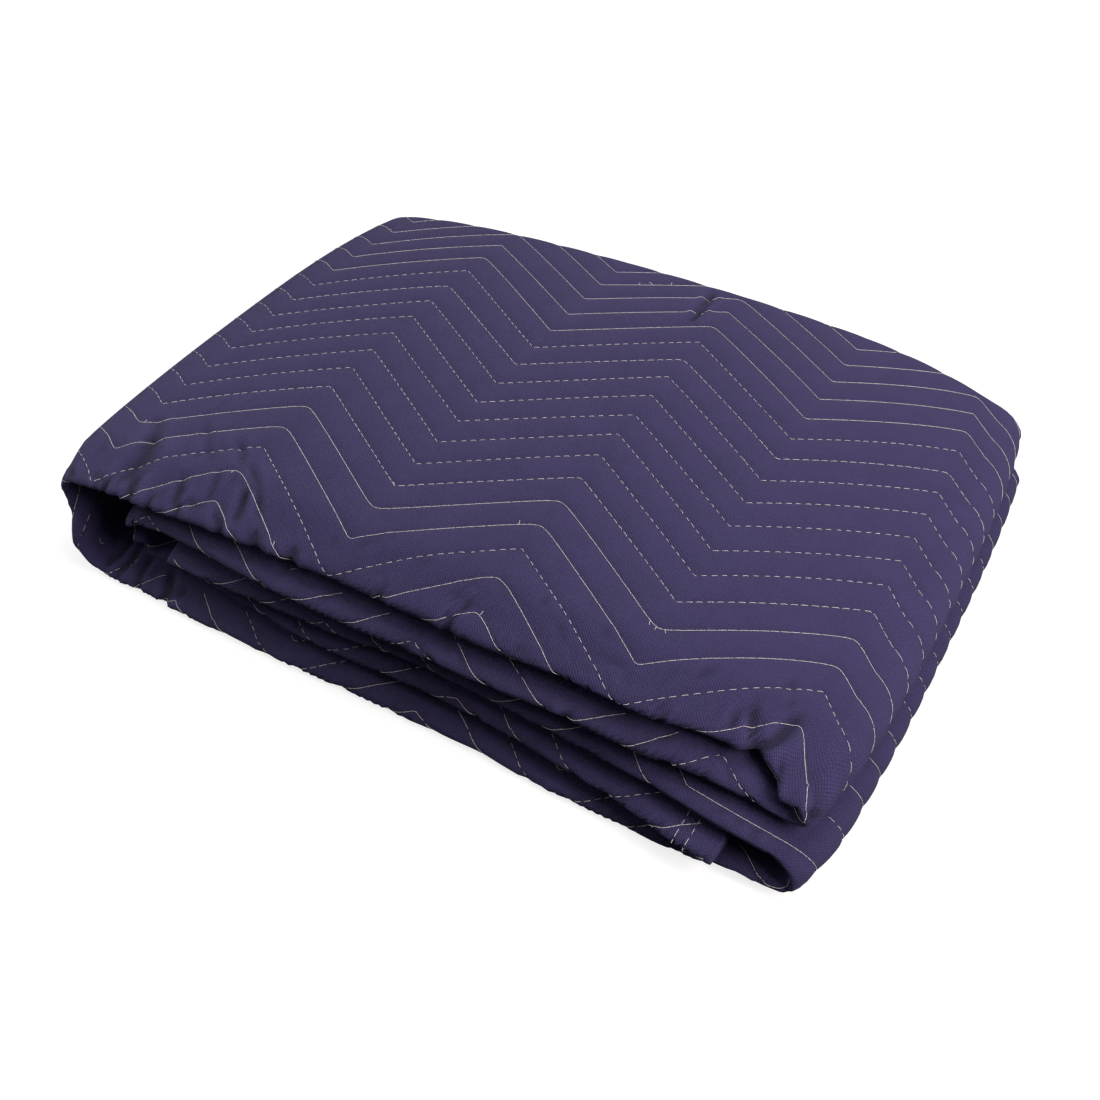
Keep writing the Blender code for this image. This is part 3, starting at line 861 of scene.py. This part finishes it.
def thread_tubes(along, width, sunk):
    """Thread lying on the cloth: a short tube for each stitch, whose ends dip into their needle holes."""
    share = np.linspace(0, 1, along.shape[1])
    arch = np.clip(1 - np.abs(2 * share - 1) ** 6, 0, 1)
    dip = np.clip(sunk / 0.2, 0.12, 1)[:, None] * (1 - arch)
    lift = (0.22 - 0.5 * dip) * MM
    flat_along, flat_width = along.ravel(), width.ravel()
    base = outer_lift(flat_along, flat_width) + lift.ravel()
    middle = surface(flat_along, flat_width, base).reshape(*along.shape, 3)
    above = surface(flat_along, flat_width, base + 0.5 * MM).reshape(*along.shape, 3)
    heading = np.gradient(middle, axis=1)
    heading /= np.linalg.norm(heading, axis=2, keepdims=True)
    up = above - middle
    sideways = np.cross(heading, up)
    sideways /= np.linalg.norm(sideways, axis=2, keepdims=True)
    up = np.cross(sideways, heading)
    radius = THREAD_RADIUS * (1 - 0.4 * dip)
    angles = np.arange(THREAD_SIDES) * 2 * math.pi / THREAD_SIDES
    ring = np.cos(angles)[:, None] * sideways[:, :, None, :] + 0.85 * np.sin(angles)[:, None] * up[:, :, None, :]
    corners = middle[:, :, None, :] + ring * radius[:, :, None, None]
    stitches, steps = along.shape
    start = (np.arange(stitches) * steps * THREAD_SIDES)[:, None, None]
    step = (np.arange(steps - 1) * THREAD_SIDES)[None, :, None]
    side = np.arange(THREAD_SIDES)[None, None, :]
    following = (side + 1) % THREAD_SIDES
    quads = np.stack(
        (
            start + step + side,
            start + step + following,
            start + step + THREAD_SIDES + following,
            start + step + THREAD_SIDES + side,
        ),
        axis=-1,
    ).reshape(-1, 4)
    ends = []
    for first in start.ravel():
        ends.append(tuple(first + side.ravel()[::-1]))
        ends.append(tuple(first + (steps - 1) * THREAD_SIDES + side.ravel()))
    return corners.reshape(-1, 3), quads.tolist() + [tuple(int(c) for c in face) for face in ends]


def undyed_thread():
    """Undyed spun thread: a matt warm grey, paler than the cloth."""
    material = bpy.data.materials.new("undyed_spun_thread")
    material.use_nodes = True
    shader = material.node_tree.nodes["Principled BSDF"]
    shader.inputs["Base Color"].default_value = linear("#dcd4d3")
    shader.inputs["Roughness"].default_value = 0.75
    shader.inputs["IOR"].default_value = 1.5
    return material


def sewn_piece(name, stitches, material):
    """Makes one piece of all the stitches given, on the cloth."""
    corners, faces = thread_tubes(*(np.concatenate(parts) for parts in zip(*stitches)))
    data = bpy.data.meshes.new(name)
    data.from_pydata(corners.tolist(), [], faces)
    data.polygons.foreach_set("use_smooth", np.ones(len(data.polygons), dtype=bool))
    data.materials.append(material)
    piece = bpy.data.objects.new(name, data)
    bpy.context.scene.collection.objects.link(piece)
    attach(piece, "root")
    return piece


thread_chance = np.random.default_rng(7)
thread_finish = undyed_thread()
sewn = [row_stitches(row, thread_chance) for row in range(-32, 12)]
quilting = sewn_piece("quilting_thread", sewn, thread_finish)

# The hem's stitching: two lines of the same thread a quarter inch apart, beside the tucked-in end of the cloth.

HEM_ROWS = (14.5 * MM, 20.85 * MM)
HEM_SUNK_SHARE = 0.3

hem_width = np.arange(ACROSS[FRONT_FOLD] - 18 * MM, ACROSS[UNDER_PLY] + 12 * MM, 0.5 * MM)
hem_sewn = [stitched(np.full_like(hem_width, row), hem_width, HEM_SUNK_SHARE, thread_chance) for row in HEM_ROWS]
sewn_piece("hem_thread", hem_sewn, thread_finish)

# Loose ends: short tails and loops of thread that stick out of a few rows where the sewing stopped or slipped.

# Where each tail is, as mm along the pile and the number of its row, with the way that it points in degrees
LOOSE_ENDS = [
    (300, -6, 255), (304, -6, 240), (308, -6, 265), (-4, 6, 100), (219, -7, 70), (2, -6, 60), (119, -9, 80),
    (230, -10, 40), (292, 0, 120), (171, 6, 60), (178, 6, 130), (187, 6, 75), (74, -9, 250), (152, -5, 110),
]
TAIL_LENGTH = 2.6 * MM

tails = []
for x_mm, row, points_deg in LOOSE_ENDS:
    share = np.linspace(0, 1, STITCH_STEPS)
    length = TAIL_LENGTH * thread_chance.uniform(0.7, 1.2)
    turned = math.radians(points_deg) + 0.5 * share
    on_row = row_place(np.array([-x_mm * MM]), np.array([row]))
    tails.append((
        (FIRST_VALLEY - x_mm * MM - length * share * np.cos(turned))[None, :],
        (TOP_LEVEL_ZERO - on_row - length * share * np.sin(turned))[None, :],
        np.zeros(1),
    ))
sewn_piece("loose_thread_ends", tails, thread_finish)

# The studio: a pale floor, a pale room, and the camera where the photograph was taken from.

floor_data = bpy.data.meshes.new("studio_floor")
floor_data.from_pydata([(-6, -6, 0), (6, -6, 0), (6, 6, 0), (-6, 6, 0)], [], [(0, 1, 2, 3)])
floor = bpy.data.objects.new("studio_floor", floor_data)
bpy.context.scene.collection.objects.link(floor)
# Matt paper that the eye sees as plain white, with a faint shadow under the pile
floor_finish = bpy.data.materials.new("white_studio_paper")
floor_finish.use_nodes = True
paper = floor_finish.node_tree
paper_shader = paper.nodes["Principled BSDF"]
paper_shader.inputs["Roughness"].default_value = 0.95
paper_shader.inputs["Specular IOR Level"].default_value = 0.0
seen = node(paper, "ShaderNodeLightPath", {}, {})
paper_colour = node(
    paper, "ShaderNodeMix", {"data_type": "RGBA"}, {"Factor": seen.outputs["Is Camera Ray"]}
)
paper_colour.inputs[6].default_value = linear("#4a4a4a")
paper_colour.inputs[7].default_value = linear("#9a9a9a")
paper.links.new(paper_colour.outputs[2], paper_shader.inputs["Base Color"])
glow = node(paper, "ShaderNodeMath", {"operation": "MULTIPLY", 1: 0.8}, {0: seen.outputs["Is Camera Ray"]})
paper_shader.inputs["Emission Color"].default_value = (1.0, 1.0, 1.0, 1.0)
paper.links.new(glow.outputs[0], paper_shader.inputs["Emission Strength"])
floor_data.materials.append(floor_finish)

room = bpy.data.worlds.new("studio_room")
bpy.context.scene.world = room
room.use_nodes = True
room.node_tree.nodes["Background"].inputs["Color"].default_value = (1.0, 1.0, 1.0, 1.0)
room.node_tree.nodes["Background"].inputs["Strength"].default_value = 0.07
bpy.context.scene.view_settings.view_transform = "Standard"


def softbox(name, place, target, size, power):
    """A square softbox that looks at a target."""
    lamp = bpy.data.lights.new(name, "AREA")
    lamp.shape = "SQUARE"
    lamp.size = size
    lamp.energy = power
    stand = bpy.data.objects.new(name, lamp)
    bpy.context.scene.collection.objects.link(stand)
    stand.location = place
    away = np.array(place) - np.array(target)
    distance = np.linalg.norm(away)
    stand.rotation_euler = (
        math.acos(away[2] / distance),
        0.0,
        math.atan2(away[1], away[0]) + math.pi / 2,
    )
    return stand


softbox("overhead_softbox", (0.0, 0.6, 1.6), (0.0, 0.0, 0.05), 1.2, 20.0)
softbox("left_softbox", (-0.6, -0.22, 0.3), (-0.15, -0.1, 0.04), 0.35, 1.2)
right_light = softbox("right_softbox", (1.05, -0.08, 0.75), (0.15, -0.05, 0.05), 0.7, 14.5)
right_light.data.color = (1.0, 0.9, 0.88)

lens = bpy.data.cameras.new("camera")
lens.lens = 43.32
lens.sensor_width = 36.0
lens.clip_start = 0.02
camera = bpy.data.objects.new("camera", lens)
bpy.context.scene.collection.objects.link(camera)
camera.location = (0.2724, -0.4725, 0.4894)
camera.rotation_euler = (math.radians(46.734), math.radians(-0.044), math.radians(29.904))
bpy.context.scene.camera = camera
